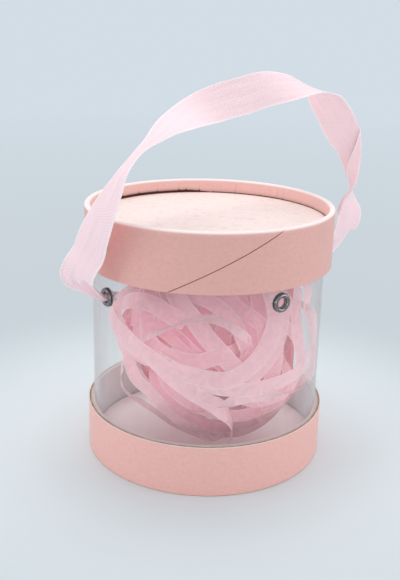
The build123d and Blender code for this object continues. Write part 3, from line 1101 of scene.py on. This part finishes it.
def keepInTube(point, values):
    # nothing reaches past the tube or the floor
    limit = tubeRadius - values["wallGap"]
    radius = math.hypot(point.x, point.y)
    if radius > limit:
        point.x *= limit / radius
        point.y *= limit / radius
    point.z = max(point.z, floorTop + values["floorGap"])
    return point


def nestShell(layer, values):
    # middle of the nest, and how far a layer of it reaches in the photo's own directions
    return photoTurn @ Vector(values["centre"]), [r - layer * values["pitch"] for r in values["reach"]]


def pointOnNest(px, py, layer, values):
    # where the camera's ray through a pixel meets a shell of the nest, or passes nearest to it
    way = pixelRay(px, py)
    centre, reach = nestShell(layer, values)
    local = photoTurn.inverted() @ (cameraEye - centre)
    localWay = photoTurn.inverted() @ way
    start = Vector([local[i] / reach[i] for i in range(3)])
    run = Vector([localWay[i] / reach[i] for i in range(3)])
    a, b, c = run.dot(run), 2 * start.dot(run), start.dot(start) - 1
    inside = b * b - 4 * a * c
    t = (-b - math.sqrt(inside)) / (2 * a) if inside > 0 else -b / (2 * a)
    return cameraEye + way * t


def nestNormal(point, values):
    centre, reach = nestShell(0, values)
    local = photoTurn.inverted() @ (point - centre)
    outward = Vector([local[i] / reach[i] ** 2 for i in range(3)])
    return (photoTurn @ outward).normalized()


def tuckEnd(points, values):
    # carries a strip's end on and inward, so that its cut end doesn't show
    end = points[-1]
    run = (end - points[-2]).normalized()
    inward = nestNormal(end, values) * -1
    return points + [end + run * on + inward * deep for on, deep in values["tucks"]]


def rippleAt(i, sway, ripple):
    size, pace = ripple
    return size * math.sin(i * pace + sway)


def stripStations(points, twists, values, sway, facing=0.0):
    # finer stations of a strip that follows the nest, faces the camera by a share and ripples a little
    smooth = smoothRows([(*point, twist) for point, twist in zip(points, twists)], values["steps"])
    stations = []
    last = len(smooth) - 1
    for i, row in enumerate(smooth):
        place = Vector(row[:3])
        run = runAt(smooth, i)
        outWay = nestNormal(place, values).lerp(cameraAxes()[2], facing)
        outWay = (outWay - run * outWay.dot(run)).normalized()
        wideWay = run.cross(outWay)
        twist = math.radians(row[3] + rippleAt(i, sway, values["twistRipple"]))
        turned = wideWay * math.cos(twist) + outWay * math.sin(twist)
        lifted = outWay * math.cos(twist) - wideWay * math.sin(twist)
        place = place + outWay * rippleAt(i, sway, values["liftRipple"])
        gather = min(1.0, values["endGather"] + min(i, last - i) / values["endSteps"])
        stations.append((place, turned, lifted, gather, 0.0, rippleAt(i, sway, values["cupRipple"])))
    return stations


def looseStrip(values, layer):
    # a strip along a great circle of a deeper shell that sways to both sides
    centre, reach = nestShell(layer, values)
    axis = Vector([random.gauss(0, 1) for _ in range(3)]).normalized()
    first = axis.orthogonal().normalized()
    second = axis.cross(first)
    begin = random.uniform(0, 360)
    spanned = random.uniform(*values["looseSpan"])
    sway = random.uniform(*values["looseSway"])
    phase = random.uniform(0, 6)
    points = []
    for i in range(values["looseRows"]):
        t = math.radians(begin + spanned * i / (values["looseRows"] - 1))
        ball = (first * math.cos(t) + second * math.sin(t)) * (1 + rippleAt(i, phase, values["looseSwell"]))
        ball = ball + axis * rippleAt(i, phase, (sway, values["swayPace"]))
        point = centre + photoTurn @ Vector([ball[j] * reach[j] for j in range(3)])
        point.z = min(point.z, values["topLimit"])
        points.append(point)
    lean = random.uniform(*values["looseLean"])
    turnRow = random.choice(values["turnRows"])
    twists = []
    for i in range(values["looseRows"]):
        turnedOver = 180 * keepShare((i - turnRow) / 2)
        twists.append(rippleAt(i, phase, (lean, values["leanPace"])) + turnedOver)
    return points, twists


def makeNest(values):
    groups = {layer: startStrips() for layer in ("outer", "middle", "inner", "core")}
    for number, (route, layer, width, tone, twists) in enumerate(values["seenStrips"]):
        points = [pointOnNest(px, py, layer, values) for px, py in route]
        twists = list(twists) or [0] * len(points)
        # both ends of the first strip and the start of the second lie in sight
        if number > 0:
            points = tuckEnd(points, values)
            twists = twists + [twists[-1]] * 2
        if number > 1:
            points = tuckEnd(points[::-1], values)[::-1]
            twists = [twists[0]] * 2 + twists
        stations = stripStations(points, twists, values, random.uniform(0, 6), values["facing"])
        addStrip(groups["outer"], stations, width / 1000, values["across"], tone=tone)
    names = ["middle", "inner", "core"]
    for number in range(values["looseStrips"]):
        depth = number % len(names)
        layer = values["looseDepth"] * (1 + depth) + random.uniform(0, values["looseDepth"])
        points, twists = looseStrip(values, layer)
        stations = stripStations(points, twists, values, random.uniform(0, 6))
        width = random.choice(values["looseWidths"])
        tone = random.uniform(*values["looseTones"])
        addStrip(groups[names[depth]], stations, width, values["across"], tone=tone)
    for layer, strips in groups.items():
        strips["points"] = [keepInTube(point, values) for point in strips["points"]]
        piece = buildStrips(strips, f"shreds{layer.capitalize()}", values["thickness"])
        finishPiece(piece, "box", tissueShred, [f"shreds_{layer}"])
        piece.visible_shadow = False  # tissue this thin lets the lamps' light on through the nest


makeNest(nestValues)
print("tissue laid")


# The frame's own pieces keep their shape and take their finish
finishes = {
    kraftBoard: ["base_ring", "base_disc", "lid_ring", "lid_disc"],
    whitePaper: ["base_liner", "floor_paper", "lid_liner", "lid_ceiling_paper"],
    coverPaper: ["base_facing"],
    facingPaper: ["lid_facing"],
    clearSheet: ["clear_tube"],
    eyeletMetal: ["washer_left", "washer_right", "washer_front", "washer_back"],
}
for material, names in finishes.items():
    for name in names:
        giveMaterial(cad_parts[name], material)
print("finishes given")


# Floor, lamps and world
stageValues = {
    "floor": (224, 234, 239),
    "backdrop": (211, 221, 230),
    "backdropLow": (202, 212, 218),
    "floorRadius": 6.0,
    "fadeFrom": 0.06,  # the floor takes the backdrop's low colour from here out
    "fadeTo": 0.18,
    "riseFrom": 0.25,  # and its high colour from here
    "riseTo": 1.3,
    "worldStrength": 0.6,
    "aim": (0, 0, 0.06),
    "lamps": {
        "topLamp": {"place": (0.14, 0.20, 1.0), "size": 0.9, "power": 4.9},
        "leftLamp": {"place": (-0.63, 0.20, 0.25), "size": 0.5, "power": 0.88},
        "rightLamp": {"place": (0.50, -0.50, 0.16), "size": 0.5, "power": 1.05},
        "frontLamp": {"place": (-0.42, -0.72, 0.05), "size": 0.6, "power": 1.0},
    },
}


def seenRays(tree):
    # 1 for rays that show the backdrop: from the camera, mirrored or through glass
    path = addNode(tree, "LightPath").outputs
    seen = calculate(tree, "MAXIMUM", path["Is Camera Ray"], path["Is Glossy Ray"])
    return calculate(tree, "MAXIMUM", seen, path["Is Transmission Ray"])


def makeStage(values):
    bpy.ops.object.select_all(action="DESELECT")
    bpy.ops.mesh.primitive_circle_add(vertices=128, radius=values["floorRadius"], fill_type="NGON")
    floor = bpy.context.object
    floor.name = "floor"
    made, tree, shader = startMaterial("floorPaint")
    place = objectPlace(tree)
    pale = srgb(values["floor"])
    low = (*(0.97 * channel for channel in pale[:3]), 1.0)
    fillSockets(tree, shader, {
        "Base Color": mixColour(tree, noise(tree, place, 6.0, 2.0), low, pale),
        "Roughness": 0.9,
        "Specular IOR Level": 0.1,
    })
    radius = addNode(tree, "VectorMath", {0: place}, operation="LENGTH").outputs["Value"]
    fade = {"Value": radius, "From Min": values["fadeFrom"], "From Max": values["fadeTo"]}
    far = addNode(tree, "MapRange", fade, interpolation_type="SMOOTHSTEP").outputs[0]
    faded = calculate(tree, "MULTIPLY", far, seenRays(tree))
    rising = mapRange(tree, radius, values["riseFrom"], values["riseTo"], 0, 1)
    shown = mixColour(tree, rising, srgb(values["backdropLow"]), srgb(values["backdrop"]))
    glow = addNode(tree, "Emission", {"Color": shown, "Strength": 1.0})
    mix = addNode(tree, "MixShader", {0: faded, 1: shader.outputs[0], 2: glow.outputs[0]})
    fillSockets(tree, tree.nodes["Material Output"], {"Surface": mix.outputs[0]})
    floor.data.materials.append(made)


def makeWorld(values):
    world = bpy.data.worlds.new("softRoom")
    bpy.context.scene.world = world
    world.use_nodes = True
    tree = world.node_tree
    tree.nodes.clear()
    light = addNode(tree, "Background", {"Color": (1, 1, 1, 1), "Strength": values["worldStrength"]})
    shown = addNode(tree, "Background", {"Color": srgb(values["backdrop"]), "Strength": 1.0})
    mix = addNode(tree, "MixShader", {0: seenRays(tree), 1: light.outputs[0], 2: shown.outputs[0]})
    addNode(tree, "OutputWorld", {"Surface": mix.outputs[0]})


def makeLamp(name, values, target):
    data = bpy.data.lights.new(name, "AREA")
    data.shape = "DISK"
    data.size = values["size"]
    data.energy = values["power"]
    lamp = bpy.data.objects.new(name, data)
    bpy.context.scene.collection.objects.link(lamp)
    lamp.location = values["place"]
    lamp.visible_camera = False
    aim = Vector(target) - Vector(values["place"])
    lamp.rotation_euler = aim.to_track_quat("-Z", "Y").to_euler()


makeStage(stageValues)
makeWorld(stageValues)
for lampName, lampValues in stageValues["lamps"].items():
    makeLamp(lampName, lampValues, stageValues["aim"])
bpy.context.scene.view_settings.view_transform = "Standard"
print("stage lit")
